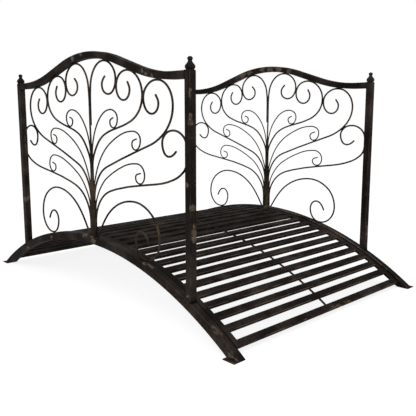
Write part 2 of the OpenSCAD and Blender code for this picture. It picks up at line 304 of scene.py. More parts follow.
# Shares of the noises in a sum, and the range of that sum over which a layer comes in.
COAT_SHARES = {"cloud": 1.0, "hair": 0.3, "grain": 0.5}
COAT_RANGE = (0.85, 1.12)
SPOT_SHARES = {"fleck": 0.8, "cluster": 0.5, "rag": 0.34}
SPOT_FADE = 0.10
SPECK_RANGE = (0.38, 0.62)
SPECK_LEVEL = (0.08, 0.90)
LINE_SHARES = {"cluster": 1.0, "fleck": 0.5}
LINE_RANGE = (0.66, 0.88)
DIMPLE_STRENGTH = 0.25
DIMPLE_DEPTH = 0.0004
print("coat from", NEAR_BLACK, "to", WARM_BROWN, "and rubbed to", RUBBED_TAN)


# %% Shader nodes
class ShaderNodes:
    """The nodes of one shader, added by short names."""

    def __init__(self, tree):
        self.nodes = tree.nodes
        self.links = tree.links

    def feed(self, node, values):
        """Put constants on a node's sockets, or link other nodes' outputs to them."""
        for label, value in values.items():
            if isinstance(value, (float, tuple)):
                node.inputs[label].default_value = value
            else:
                self.links.new(value, node.inputs[label])

    def new(self, kind, values):
        """New node of a kind, with its sockets fed."""
        node = self.nodes.new(kind)
        self.feed(node, values)
        return node

    def stretched(self, source, scale):
        """Coordinates with a scale of their own on each axis."""
        return self.new("ShaderNodeMapping", {"Vector": source, "Scale": scale}).outputs["Vector"]

    def noise(self, source, scale, detail, roughness):
        """Cloudy value around 0.5 at the source's coordinates."""
        values = {"Vector": source, "Scale": scale, "Detail": detail, "Roughness": roughness}
        return self.new("ShaderNodeTexNoise", values).outputs["Fac"]

    def value_of(self, label):
        """Value that every point of a piece carries under the label."""
        node = self.nodes.new("ShaderNodeAttribute")
        node.attribute_name = label
        return node.outputs["Fac"]

    def maths(self, operation, first, second):
        """Result of one operation on two values."""
        node = self.new("ShaderNodeMath", {0: first, 1: second})
        node.operation = operation
        return node.outputs["Value"]

    def weighted(self, values, shares):
        """Sum of the named values, each times its share."""
        total = 0.0
        for label, share in shares.items():
            total = self.maths("ADD", total, self.maths("MULTIPLY", values[label], share))
        return total

    def level(self, value, span=(0.0, 1.0), ends=(0.0, 1.0)):
        """Straight line from the first end to the second over the span, and level past it."""
        limits = dict(zip(("From Min", "From Max", "To Min", "To Max"), (*span, *ends)))
        return self.new("ShaderNodeMapRange", {"Value": value, **limits}).outputs["Result"]

    def blend(self, amount, first, second):
        """First colour where the amount is 0 and second colour where it is 1."""
        node = self.nodes.new("ShaderNodeMix")
        node.data_type = "RGBA"
        self.feed(node, {"Factor": amount, "A": first, "B": second})
        return node.outputs["Result"]


# %% Paint material
def paint(name, brown, wear, fleck_stretch, edge, rough):
    """Satin paint: a coat from near-black to brown, with tan spots where their sum passes wear.

    edge is the strength of the tan lines along corners, and rough the roughness of the coat.
    """
    material = bpy.data.materials.new(name)
    material.use_nodes = True
    add = ShaderNodes(material.node_tree)
    coords = add.nodes.new("ShaderNodeTexCoord").outputs
    place, metal = coords["Object"], coords["UV"]
    values = {
        "cloud": add.noise(place, *CLOUD),
        "cluster": add.noise(place, *CLUSTER),
        "fleck": add.noise(add.stretched(metal, fleck_stretch), *FLECK),
        "hair": add.noise(add.stretched(metal, HAIR_STRETCH), *HAIR),
        "grain": add.noise(place, *GRAIN),
        "rag": add.value_of("rag"),
    }
    rub_and_shade = add.value_of("rub_and_shade")
    speck = add.noise(add.stretched(metal, fleck_stretch), *SPECK)
    spots = add.level(add.weighted(values, SPOT_SHARES), (wear, wear + SPOT_FADE))
    spots = add.maths("MULTIPLY", spots, add.level(speck, SPECK_RANGE, SPECK_LEVEL))
    line = add.level(add.weighted(values, LINE_SHARES), LINE_RANGE)
    line = add.maths("MULTIPLY", add.maths("MAXIMUM", rub_and_shade, 0.0), line)
    rubbed = add.maths("MAXIMUM", spots, add.maths("MULTIPLY", line, edge))
    coat = add.blend(add.level(add.weighted(values, COAT_SHARES), COAT_RANGE), NEAR_BLACK, brown)
    # Below 0 the rub value paints shade: the coat goes to black in seams and joints.
    coat = add.blend(add.maths("MULTIPLY", rub_and_shade, -1.0), coat, SHADE_BLACK)
    bump = {
        "Strength": DIMPLE_STRENGTH,
        "Distance": DIMPLE_DEPTH,
        "Height": add.noise(place, *DIMPLES),
    }
    finish = {
        "Base Color": add.blend(rubbed, coat, RUBBED_TAN),
        "Roughness": add.level(rubbed, ends=(rough, rough - RUBBED_SMOOTHER)),
        "Metallic": 0.0,
        "Specular IOR Level": SHEEN,
        "Specular Tint": SHEEN_TINT,
        "Normal": add.new("ShaderNodeBump", bump).outputs["Normal"],
    }
    add.feed(add.nodes["Principled BSDF"], finish)
    print("paint:", name)
    return material


PAINTS = {
    "tube_paint": paint(
        "tube_paint", WARM_BROWN, wear=0.84, fleck_stretch=(40.0, 84.0, 1.0), edge=0.40, rough=0.62
    ),
    "deck_paint": paint(
        "deck_paint", WARM_BROWN, wear=0.86, fleck_stretch=(24.0, 120.0, 1.0), edge=0.85, rough=0.74
    ),
    "rod_paint": paint(
        "rod_paint", ROD_BROWN, wear=0.83, fleck_stretch=(30.0, 60.0, 1.0), edge=0.30, rough=0.60
    ),
}

# %% [markdown]
# ## Sections
#
# Rolled tube has rounded corners, so its section is a square whose corners are quarter
# circles. A Bevel modifier could round a plain box, but it would not know which points are
# corners. Here the section is drawn as four arcs with a few points on each flat between
# them, so that the rub value can fall off quickly beside a corner and a rubbed place can
# lie in the middle of a face. A round bar is a plain circle.

# %% Section shapes
ROD_RUB = 0.5
# Painted shade: the value that turns a seam or joint black, in place of its shadow.
SEAM_SHADE = -1.0


def box_section(deep, wide, corner, fade=0.0016, arc_points=5, flat_points=5):
    """Rounded rectangle as [out, across] columns, and the rub value of each column.

    The corners are quarter circles of radius corner. The points of a flat keep the distance
    fade from the arcs beside it.
    """
    turn = np.radians(90 * np.arange(4))
    sweep_angle = np.linspace(0, math.pi / 2, arc_points)
    signs = np.array([[1, 1], [-1, 1], [-1, -1], [1, -1]])
    centres = signs * (np.array([deep, wide]) / 2 - corner)
    angle = turn[:, None] + sweep_angle
    arcs = centres[:, None, :] + corner * np.stack([np.cos(angle), np.sin(angle)], -1)
    forward = np.stack([-np.sin(turn + math.pi / 2), np.cos(turn + math.pi / 2)], -1)
    after = arcs[:, -1] + fade * forward
    before = np.roll(arcs[:, 0], -1, axis=0) - fade * forward
    part = np.linspace(0, 1, flat_points)[None, :, None]
    flats = after[:, None] + (before - after)[:, None] * part
    points = np.concatenate([arcs, flats], 1).reshape(-1, 2)
    rub_and_shade = np.tile(np.r_[np.ones(arc_points), np.zeros(flat_points)], 4)
    return points, rub_and_shade


def round_angles(sides):
    """Angles of the columns of a round section."""
    return np.linspace(0, 2 * math.pi, sides, endpoint=False)


def round_section(radius, sides):
    """Circle as [out, across] columns: radius cos a, radius sin a."""
    angle = round_angles(sides)
    return radius * np.stack([np.cos(angle), np.sin(angle)], -1)


def worn_and_shaded(rub_and_shade, weights):
    """Rub values of a box section with its four corners weighted.

    The corners come as outer +across, inner +across, inner -across and outer -across. One with
    a negative weight gets painted shade, black as a seam in shadow, and takes one more column on
    both sides.
    """
    rub_and_shade = (rub_and_shade.reshape(4, -1) * np.array(weights)[:, None]).reshape(-1)
    seam_shade = np.minimum(np.minimum(np.roll(rub_and_shade, 1), np.roll(rub_and_shade, -1)), rub_and_shade)
    return np.where(seam_shade < 0, seam_shade, rub_and_shade)


def girth(section):
    """Distance round a section at each column, ending with the full girth."""
    sides = np.linalg.norm(np.roll(section, -1, axis=0) - section, axis=1)
    return np.concatenate([[0.0], np.cumsum(sides)])


def round_girth(radius, sides):
    """Distance round a circle at each column, ending with the full girth."""
    return np.linspace(0, 2 * math.pi * radius, sides + 1)


TUBE_CORNER = 0.001
tube_section, tube_rub = box_section(tube, tube, TUBE_CORNER)
tube_girth = girth(tube_section)
print("tube section:", len(tube_section), "points, girth", round(tube_girth[-1], 4))

# %% [markdown]
# ## Stringers
#
# The two stringers are one bent tube each, cut level where they meet the foot plates.
# A sweep with square ends would need a saw cut afterwards. Instead each column of the
# section gets its own sweep angle: a point at radius r is at the cut's height z when its
# angle is the arc cosine of (z - centre) / r. Scaling that end angle by a number from
# -1 to 1 fills in the arch, and the ends come out flat. The top corner beside the deck is
# painted in shade on the left stringer, black as a shadowed seam, and on the right one it
# is rubbed to a brown line.

# %% Stringers
STRINGER_CORNER = 0.0015
# Painted shade: a negative corner weight turns that corner black as a shadowed seam.
STRINGER_WEAR_AND_SHADE = {"left": (SEAM_SHADE, 0.3, 0.3, 0.3), "right": (0.3, 0.3, 0.3, 2.4)}


def arch_grid(section, radius, y, end_angle, steps=260):
    """Section carried round the arch: x = r sin a and z = centre + r cos a.

    a goes from -end_angle to +end_angle, which may differ from column to column.
    """
    part = np.linspace(-1, 1, steps)[:, None]
    r = radius + section[None, :, 0]
    a = part * np.broadcast_to(end_angle, (1, len(section)))
    across = np.broadcast_to(y + section[None, :, 1], a.shape)
    return np.stack([r * np.sin(a), across, arch_z + r * np.cos(a)], -1)


stringer_section, stringer_rub = box_section(stringer_tube, stringer_tube, STRINGER_CORNER, flat_points=8)
stringer_mid_r = arch_r - stringer_tube / 2
level_cut = np.arccos((foot_top - arch_z) / (stringer_mid_r + stringer_section[:, 0]))
for side, sign in SIDES.items():
    grid = arch_grid(stringer_section, stringer_mid_r, sign * rail_y, level_cut)
    bent_tube = skin(grid, girth(stringer_section), worn_and_shaded(stringer_rub, STRINGER_WEAR_AND_SHADE[side]))
    dress(f"{side}_stringer", "tube", [bent_tube], "tube_paint")

# %% [markdown]
# ## Deck
#
# The deck is a ladder of flat tube: an edge bar beside each stringer, and slats between
# them that follow the arch. An Array modifier could repeat a slat, but the last gap is
# wider than the others. So one slat is worked out on the crest and then turned about the
# arch's axis to each place: turning by an angle a takes (x, h) to
# (x cos a + h sin a, h cos a - x sin a), with h measured from the axis. The corner that
# looks down the slope is the most worn, and the slats at the ends more than at the crest.

# %% Deck sizes
SLAT_W = 0.025
SLAT_T = 0.012
SLAT_CORNER = 0.0005
SLAT_GAP = 0.0277
END_GAP = 0.0358
EVEN_SLATS = 14
SLAT_ROWS = 61
slat_half_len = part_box("near_crest_slats")[1].y
deck_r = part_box("left_deck_edge")[1].z - arch_z
pitch = SLAT_W + SLAT_GAP
end_slat_s = EVEN_SLATS * pitch - SLAT_GAP / 2 + END_GAP + SLAT_W / 2
slat_s = np.r_[(np.arange(EVEN_SLATS) + 0.5) * pitch, end_slat_s]
slat_angles = slat_s / deck_r
deck_end = (end_slat_s + SLAT_W / 2) / deck_r
flat_section, flat_rub = box_section(SLAT_T, SLAT_W, SLAT_CORNER)
flat_girth = girth(flat_section)
print("slats per half:", len(slat_s), "pitch", round(pitch, 4))

# %% Deck edges
# Painted shade: the corner beside the stringer is turned black as a shadowed seam.
EDGE_WEAR_AND_SHADE = {"left": (0.4, 0.3, 0.3, SEAM_SHADE), "right": (SEAM_SHADE, 0.3, 0.3, 0.4)}
for side, sign in SIDES.items():
    grid = arch_grid(flat_section, deck_r - SLAT_T / 2, sign * (inner_y - SLAT_W / 2), deck_end)
    edge_bar = skin(grid, flat_girth, worn_and_shaded(flat_rub, EDGE_WEAR_AND_SHADE[side]))
    dress(f"{side}_deck_edge", "tube", [edge_bar], "deck_paint")

# %% Slats
GROUP_WEAR = {"crest": 0.3, "middle": 0.8, "end": 1.0}
SLAT_WEAR = {"near": (1, 0.2, 0.2, 0.3), "far": (0.3, 0.2, 0.2, 1)}


def turned_about_arch(x, y, h, angle):
    """Points at x along the crest and h from the arch's axis, turned about it by the angle."""
    turned_x = x * math.cos(angle) + h * math.sin(angle)
    turned_z = arch_z + h * math.cos(angle) - x * math.sin(angle)
    return np.stack(np.broadcast_arrays(turned_x, y, turned_z), -1)


def slat_grid(angle):
    """Flat tube lying across the bridge on the crest, turned about the arch's axis by the angle."""
    y = np.linspace(-1, 1, SLAT_ROWS)[:, None] * slat_half_len
    h = deck_r - SLAT_T / 2 + flat_section[None, :, 0]
    return turned_about_arch(flat_section[None, :, 1], y, h, angle)


for end, sign in ENDS.items():
    for group, angles in zip(GROUP_WEAR, np.split(slat_angles, len(GROUP_WEAR))):
        rub_and_shade = GROUP_WEAR[group] * worn_and_shaded(flat_rub, SLAT_WEAR[end])
        slats = [skin(slat_grid(sign * a), flat_girth, rub_and_shade) for a in angles]
        dress(f"{end}_{group}_slats", "tube", slats, "deck_paint")

# %% [markdown]
# ## Posts
#
# A post is a straight tube that stands on the curve of its stringer. A Boolean could cut
# the curve out of it. Instead its lowest row of points is dropped onto the circle,
# z = centre + root(r squared - x squared), which gives the cope that is filed on a real one.
# At the top a small bevel closes the tube under the finial. The joint at the foot is
# painted in shade, black, and so are a few rows more on the face that looks down the slope,
# as a painted contact shadow.

# %% Posts
POST_BEVEL = 0.0012
CORNER_RUB = 0.5
# Rows as parts of the height, two of them close together at the foot.
POST_ROWS = np.r_[0.0, 0.003, np.linspace(0.01, 1, 118)]
# Painted contact shadow: darkness of the lowest rows, on columns past this part of the half tube.
FOOT_SHADOW = np.array([1.0, 1.0, 0.8, 0.5, 0.2])
FACE_PART = 0.9


def arch_top(x):
    """Height of the stringer's top at distance x from mid-span."""
    return arch_z + np.sqrt(arch_r**2 - x**2)


def post_grid(end, side):
    """Tube section carried straight up: the lowest row follows the arch, and the last draws in."""
    x = end * post_x + tube_section[:, 0]
    y = side * rail_y + tube_section[:, 1]
    foot = arch_top(x)
    z = foot + (post_top - POST_BEVEL - foot) * POST_ROWS[:, None]
    body = np.stack(np.broadcast_arrays(x, y, z), -1)
    centre = np.array([end * post_x, side * rail_y])
    lid = body[-1].copy()
    lid[:, :2] = centre + (lid[:, :2] - centre) * (1 - POST_BEVEL / half_tube)
    lid[:, 2] = post_top
    return np.concatenate([body, lid[None]])


for corner, (end_sign, side_sign) in CORNERS.items():
    grid = post_grid(end_sign, side_sign)
    rub_and_shade = np.tile(CORNER_RUB * tube_rub, (len(grid), 1))
    # Painted shade: the foot row at the joint is black, and the lowest rows of the downhill face darken
    # as a painted contact shadow.
    rub_and_shade[0] = SEAM_SHADE
    downhill = end_sign * tube_section[:, 0] > FACE_PART * half_tube
    rub_and_shade[: len(FOOT_SHADOW), downhill] = SEAM_SHADE * FOOT_SHADOW[:, None]
    dress(f"{corner}_post", "tube", [skin(grid, tube_girth, rub_and_shade)], "tube_paint")

# %% [markdown]
# ## Top rails
#
# Each top rail is a tube bent into a lazy S on both sides of a crown. A Bezier curve would
# come close, but a bending machine makes arcs, so the path is two arcs that meet on a
# straight slope. With the steepest slope A known, the sum of both bend radii follows from
# the run and the rise between the level end and the crown:
# (run sin A - rise cos A) / (1 - cos A). The end rows at the welds are painted in shade,
# black, and the last row but one lies close to the post, so that this painted shade stays
# short.

# %% Top rail path
LEVEL_RUN = 0.0614
# The steepest slope over the mean one, and the crown's share of the two bend radii.
RAIL_BEND = 1.605
CROWN_PART = 0.48
BEND_ROWS = 40
LEVEL_ROWS = 5
SEAM_LENGTH = 0.002
rail_run = post_x - LEVEL_RUN
crown_rise = crown_z - level_z
slope = RAIL_BEND * math.atan(crown_rise / rail_run)
bend_r = (rail_run * math.sin(slope) - crown_rise * math.cos(slope)) / (1 - math.cos(slope))
crown_r = CROWN_PART * bend_r
haunch_r = bend_r - crown_r
crown_end_x = crown_r * math.sin(slope)
haunch_start_x = rail_run - haunch_r * math.sin(slope)
bend = np.linspace(0, slope, BEND_ROWS)
sideways, fallen = np.sin(bend), 1 - np.cos(bend)
crown = np.stack([crown_r * sideways, crown_z - crown_r * fallen, -bend], -1)
haunch = np.stack([rail_run - haunch_r * sideways, level_z + haunch_r * fallen, -bend], -1)
level_x = np.r_[np.linspace(rail_run, clear_half - SEAM_LENGTH, LEVEL_ROWS)[1:], clear_half]
level_end = np.stack([level_x, np.full(LEVEL_ROWS, level_z), np.zeros(LEVEL_ROWS)], -1)
half_rail = np.concatenate([crown, haunch[::-1], level_end])
rail_path = np.concatenate([half_rail[:0:-1] * [-1, 1, -1], half_rail])
print("top rail: slope", round(math.degrees(slope), 1), "bends", round(crown_r, 3), round(haunch_r, 3))


# %% Top rails
def swept(path, section, y, size=1.0):
    """Section carried along a path of [x, z, heading] in the plane of a rail, scaled row by row."""
    size = np.broadcast_to(size, len(path))[:, None]
    out, across = size * section[None, :, 0], size * section[None, :, 1]
    x = path[:, 0:1] - out * np.sin(path[:, 2:3])
    z = path[:, 1:2] + out * np.cos(path[:, 2:3])
    return np.stack([x, y + across, z], -1)


for side, sign in SIDES.items():
    grid = swept(rail_path, tube_section, sign * rail_y)
    rub_and_shade = np.tile(CORNER_RUB * tube_rub, (len(grid), 1))
    # Painted shade: the end rows, at the welds on the posts, are turned black.
    rub_and_shade[[0, -1]] = SEAM_SHADE
    dress(f"{side}_top_rail", "tube", [skin(grid, tube_girth, rub_and_shade)], "tube_paint")

# %% [markdown]
# ## Scrolls
#
# A scroll is bent by feel: the rod passes a few chosen places in chosen directions
# and runs smoothly between them. A biarc does the same with two circular arcs that share
# a tangent where they meet, and unlike a Bezier curve it never wobbles. Each scroll is a
# short list of stations, given in hundredths of the panel, and the arcs between them are
# worked out here.

# %% Biarcs
PARALLEL = 1e-9
STRAIGHT = 1e-6


def heading_vector(h):
    """Unit vector along a heading in radians."""
    return np.array([math.cos(h), math.sin(h)])


def meeting(s, e):
    """Where two tangent arcs between stations s and e meet, with equal tangent lengths d on both."""
    u, v = heading_vector(s[2]), heading_vector(e[2])
    w = e[:2] - s[:2]
    k = 1 - u @ v
    m = w @ (u + v)
    if k < PARALLEL:
        d = w @ w / (4 * (w @ v))
    else:
        d = (math.sqrt(m * m + 2 * k * (w @ w)) - m) / (2 * k)
    return (s[:2] + e[:2] + d * (u - v)) / 2


def arc(p, h, q, turn_step=math.radians(5)):
    """Rows [x, z, heading] along the arc that leaves p with heading h and ends at q, without p."""
    w = q - p
    normal = np.array([-math.sin(h), math.cos(h)])
    bow = w @ normal
    turn = 2 * math.atan2(bow, w @ heading_vector(h))
    part = np.linspace(0, 1, max(1, math.ceil(abs(turn) / turn_step)) + 1)[1:]
    headings = h + turn * part
    if abs(bow) < STRAIGHT:
        points = p + w * part[:, None]
    else:
        r = w @ w / (2 * bow)
        points = p + normal * r + r * np.stack([np.sin(headings), -np.cos(headings)], -1)
    return np.column_stack([points, headings])


def bent(stations):
    """Rows [x, z, heading] of a rod bent through all its stations."""
    stations = np.array(stations, float)
    rows = [stations[:1]]
    for s, e in zip(stations[:-1], stations[1:]):
        first = arc(s[:2], s[2], meeting(s, e))
        rows += [first, arc(first[-1, :2], first[-1, 2], e[:2])]
    return np.concatenate(rows)


print("a half circle takes", len(bent([(0, 0, 0), (0, 1, math.pi)])), "rows")

# %% Kinds of station
ROD_D = 0.006
THIN_D = 0.0045
trunk_pitch = ROD_D + WELD_GAP
touch = trunk_pitch / 2


def at(part_x, part_z, degrees):
    """Station at hundredths of the panel's clear half width and of its height."""
    return [clear_half * part_x / 100, rise + panel_h * part_z / 100, math.radians(degrees)]


def moved(station, distance):
    """Station shifted square to its heading."""
    x, z, h = station
    return [x - distance * math.sin(h), z + distance * math.cos(h), h]


def shifted(station, dx):
    """Station moved sideways."""
    return [station[0] + dx, station[1], station[2]]


def turned(station):
    """Station with its heading reversed."""
    return [station[0], station[1], station[2] + math.pi]


def under_rail(part_x):
    """Station of a rod that touches the top rail's underside, heading back to mid-span."""
    x = clear_half * part_x / 100
    if x < crown_end_x:
        fall = math.asin(x / crown_r)
        z = crown_z - crown_r * (1 - math.cos(fall))
    elif x < haunch_start_x:
        fall = slope
        z = crown_z - crown_r * (1 - math.cos(slope)) - (x - crown_end_x) * math.tan(slope)
    else:
        fall = math.asin((rail_run - x) / haunch_r)
        z = level_z + haunch_r * (1 - math.cos(fall))
    return moved([x, z, math.pi - fall], half_tube + ROD_D / 2 + WELD_GAP)


def on_stringer(part_x):
    """Station of a rod that lies on the stringer's top, heading back to mid-span."""
    x = clear_half * part_x / 100
    return moved([x, arch_top(x), math.pi - math.asin(x / arch_r)], -ROD_D / 2 - WELD_GAP)


def resting_on(seat):
    """Station of a thin rod whose back rests on a main rod at the seat."""
    return turned(moved(seat, (ROD_D + THIN_D) / 2 + WELD_GAP))


def trunk_foot(i):
    """Foot of trunk rod i on the crest of the stringer, pointing up; rod 0 is the stem."""
    x = i * trunk_pitch
    return [x, arch_top(x) + WELD_GAP, math.pi / 2]


def trunk_leave(i, part_z):
    """Height at which trunk rod i starts to lean out."""
    return [i * trunk_pitch, rise + panel_h * part_z / 100, math.pi / 2]


def crotch(i, part_z):
    """Start of a thin rod in the crotch inside trunk rod i."""
    return shifted(trunk_leave(i - 0.5, part_z), (THIN_D + WELD_GAP) / 2)


print("rods of", ROD_D, "and", THIN_D, "m, trunk pitch", round(trunk_pitch, 4))

# %% Where rods touch
CROWN_TOUCH = 20.5
UPPER_TOUCH = 48.4
MIDDLE_TOUCH = 75.3
SIDE_TOUCH = (49.2, 53.8)
BASE_TOUCH = 57
BASE_PART = 5.4
BASE_LEAN = math.radians(57)
upper_seat = at(28.2, 61.8, 12)
middle_seat = at(52.3, 50.9, 17)
side_seat = at(55.6, 33.5, 8)
crown_meets_upper = at(31.3, 85.9, 256)
upper_meets_middle = at(59.3, 78.4, 85)
middle_meets_side = at(79.9, 60.6, 40)
base_x = clear_half * BASE_PART / 100
base_foot = [base_x, arch_top(base_x), BASE_LEAN]
base_start = [base_x, base_foot[1] + ROD_D / 2 * math.cos(BASE_LEAN) + WELD_GAP, BASE_LEAN]
side_post = [shifted(at(100, part_z, 90), -touch) for part_z in SIDE_TOUCH]
print("the base scroll starts", round(base_x, 4), "m from mid-span")

# %% Scroll stations
CROWN = [
    trunk_leave(0.5, 63.4), trunk_leave(0.5, 77), at(6.1, 94, 48), turned(under_rail(CROWN_TOUCH)),
    moved(crown_meets_upper, -touch), at(22.6, 80.4, 180), at(15.3, 85.4, 90), at(18.8, 89.8, 35),
]
STEM = [trunk_foot(0), trunk_leave(0, 45)] + CROWN
SCROLLS = {
    "upper_scrolls": [
        trunk_foot(1), trunk_leave(1, 40), at(8.3, 53.4, 50), upper_seat, at(46.5, 66.2, 22),
        moved(upper_meets_middle, touch), under_rail(UPPER_TOUCH), moved(crown_meets_upper, touch),
        at(39.4, 77, 0), at(46, 82.2, 90), at(44, 86.1, 122),
    ],
    "middle_scrolls": [
        trunk_foot(2), trunk_leave(2, 21), at(9.9, 36.3, 46), at(19.5, 41.3, 20), middle_seat,
        moved(middle_meets_side, touch), at(87.4, 74, 90), under_rail(MIDDLE_TOUCH),
        at(66.4, 85.1, 206), turned(moved(upper_meets_middle, -touch)), at(68, 70, 0),
        at(74.3, 75, 90), at(71.9, 79, 128),
    ],
    "side_scrolls": [
        trunk_foot(3), trunk_leave(3, 8), at(16, 25.6, 30), at(29.3, 29.5, 14), side_seat,
        at(87.5, 38.7, 20.5), *side_post, at(87.8, 62.2, 180),
        turned(moved(middle_meets_side, -touch)), at(77.4, 56, 270), at(83.3, 49.6, 0),
        at(89.8, 52.2, 45),
    ],
    "base_scrolls": [
        base_start, at(15.5, 11.9, 49), at(48.5, 24.35, 0), at(73.8, 6.4, 270),
        on_stringer(BASE_TOUCH), at(49.7, 3.4, 90), at(55.8, 9.1, 0), at(63.3, 3.6, 292),
    ],
}
TENDRILS = {
    "upper_tendrils": [
        crotch(1, 45.5), at(11.5, 67.5, 45), at(24.3, 72.2, 0), at(32, 67.3, 270),
        resting_on(upper_seat), at(23.5, 65.5, 90), at(27.2, 67.8, 13),
    ],
    "middle_tendrils": [
        crotch(2, 27), at(5.2, 36.4, 68), at(22.2, 53.7, 32), at(48.7, 61.1, 0),
        at(56.1, 56.6, 270), resting_on(middle_seat), at(47.3, 54.4, 90), at(52, 57.2, 10),
    ],
    "lower_tendrils": [
        crotch(3, 14.5), at(12.7, 31.1, 46), at(24.6, 37.8, 27), at(52, 44.5, 0),
        at(59.8, 38.8, 270), resting_on(side_seat), at(50.5, 37.2, 90), at(55.4, 39.7, 10),
    ],
}
print("scrolls:", len(SCROLLS) + 1, "kinds, tendrils:", len(TENDRILS), "kinds")

# %% [markdown]
# ## Rods along the scrolls
#
# The rod itself is a circle carried along the bent path. Its free end is rounded by a few
# more rows that shrink like a quarter circle: row by row the radius is cos t while the
# centre moves on by sin t. The other half of the rail is the mirror image. A dark rod two
# pixels wide comes out paler in a render than in the photograph, whose edge pixels are
# blended in another way, so the circle is drawn a fifth wider than the stock. Where the
# rods stand side by side in the trunk, the columns that face the next rod get painted shade:
# they are turned black as the shadow between the rods.

# %% Rods
DRAWN_WIDER = 6 / 5
NOSE_ROWS = 4
trunk_half = 4 * trunk_pitch
# A row is upright below this cosine, and a column is a seam past this part of the radius.
UPRIGHT_COS = 0.05
BESIDE_PART = 0.75


def rod_skins(stations, stock, y, sides=14):
    """Round rod through the stations, with a rounded free end, and its mirror image in x = 0."""
    path = bent(stations)
    radius = DRAWN_WIDER * stock / 2
    t = np.linspace(0, math.pi / 2, NOSE_ROWS + 2)[1:-1]
    tip = path[-1]
    nose = tip[:2] + radius * np.sin(t)[:, None] * heading_vector(tip[2])
    rows = np.concatenate([path, np.column_stack([nose, np.full(NOSE_ROWS, tip[2])])])
    size = np.r_[np.ones(len(path)), np.cos(t)]
    section = round_section(radius, sides)
    # Painted shade between the trunk rods: columns that face the next rod are turned black.
    upright = (np.abs(rows[:, 0]) < trunk_half) & (np.abs(np.cos(rows[:, 2])) < UPRIGHT_COS)
    beside = np.abs(section[:, 0]) > BESIDE_PART * radius
    rub_and_shade = np.where(upright[:, None] & beside, SEAM_SHADE, ROD_RUB)
    grid = swept(rows, section, y, size)
    return [skin(half, girth(section), rub_and_shade) for half in (grid, grid * [-1, 1, 1])]


for side, sign in SIDES.items():
    stem = rod_skins(STEM, ROD_D, sign * rail_y)
    short = rod_skins(CROWN, ROD_D, sign * rail_y)
    pair = [stem[0], short[1]] if sign > 0 else [short[0], stem[1]]
    dress(f"{side}_crown_scrolls", "rod", pair, "rod_paint")
    for kinds, stock in ((SCROLLS, ROD_D), (TENDRILS, THIN_D)):
        for kind, stations in kinds.items():
            dress(f"{side}_{kind}", "rod", rod_skins(stations, stock, sign * rail_y), "rod_paint")

# %% [markdown]
# ## Welds
#
# Nothing on this bridge is screwed: the scrolls are tacked to each other and to the rails,
# and a bead runs round the foot of each post and round each end of a top rail. They could
# be sculpted, but at this size their outline is enough. A tack is an egg that lies along
# the rods at the place where they touch. A bead is a small circle carried round the tube's
# outline and back to its start, swelling and shrinking a little as it goes.

# %% Tacks
TACK = {"length": 0.0042, "width": 0.0021}
CROTCH_TACK = {"length": 0.0110, "width": 0.0025}
TRUNK_MOUND = {"length": trunk_half, "width": 0.0040, "sides": 24}
TACK_ROWS = 9
POLE = math.radians(80)


def tack_skin(station, y, length, width, sides=12):
    """Egg along a station's heading: length sin t along it and width cos t round it.

    t goes from near one pole to near the other.
    """
    t = np.linspace(-POLE, POLE, TACK_ROWS)[:, None]
    a = round_angles(sides)
    along = length * np.sin(t)
    out = width * np.cos(t) * np.cos(a)
    x = station[0] + along * math.cos(station[2]) - out * math.sin(station[2])
    z = station[1] + along * math.sin(station[2]) + out * math.cos(station[2])
    grid = np.stack([x, y + width * np.cos(t) * np.sin(a), z], -1)
    return skin(grid, round_girth(width, sides), 0.0)


def mirrored(station):
    """Station on the other half of the rail."""
    return [-station[0], station[1], math.pi - station[2]]


TACKED = [crown_meets_upper, upper_meets_middle, middle_meets_side]
TACKED += [moved(seat, ROD_D / 2) for seat in (upper_seat, middle_seat, side_seat)]
TACKED += [moved(under_rail(part_x), -ROD_D / 2) for part_x in (CROWN_TOUCH, UPPER_TOUCH, MIDDLE_TOUCH)]
TACKED += [at(100, sum(SIDE_TOUCH) / 2, 90), moved(on_stringer(BASE_TOUCH), ROD_D / 2), base_foot]
CROTCHES = [kind[0] for kind in TENDRILS.values()]
for side, sign in SIDES.items():
    y = sign * rail_y
    tacks = [tack_skin(s, y, **TACK) for s in TACKED]
    tacks += [tack_skin(mirrored(s), y, **TACK) for s in TACKED]
    tacks += [tack_skin(half, y, **CROTCH_TACK) for s in CROTCHES for half in (s, mirrored(s))]
    tacks += [tack_skin([0.0, rise, 0.0], y, **TRUNK_MOUND)]
    make_piece(f"{side}_scroll_tacks", tacks, "rod_paint", [])

# %% Beads
BEAD_R = 0.0015
# Painted shade: the beads are darkened nearly to black, like the shadowed joint they sit in.
BEAD_SHADE = -0.8
SWELL = 0.1
UP = np.array([0.0, 0.0, 1.0])
ALONG = np.array([1.0, 0.0, 0.0])


def bead_skin(path, out, up, ripples=46, sides=8):
    """Closed bead: path + r (cos a out + sin a up), with r swelling by a tenth at every ripple."""
    turn = round_angles(len(path))
    r = BEAD_R * (1 + SWELL * np.sin(ripples * turn))[:, None, None]
    a = round_angles(sides)[None, :, None]
    grid = path[:, None] + r * (np.cos(a) * out[:, None] + np.sin(a) * up)
    return skin(grid, round_girth(BEAD_R, sides), BEAD_SHADE, loop=True)


def even_outline(section, count=276):
    """Points at even steps along a closed outline, with the outward direction at each."""
    steps = girth(section)
    s = np.linspace(0, steps[-1], count, endpoint=False)
    closed = np.concatenate([section, section[:1]])
    points = np.stack([np.interp(s, steps, closed[:, 0]), np.interp(s, steps, closed[:, 1])], -1)
    return points, points / np.linalg.norm(points, axis=1)[:, None]


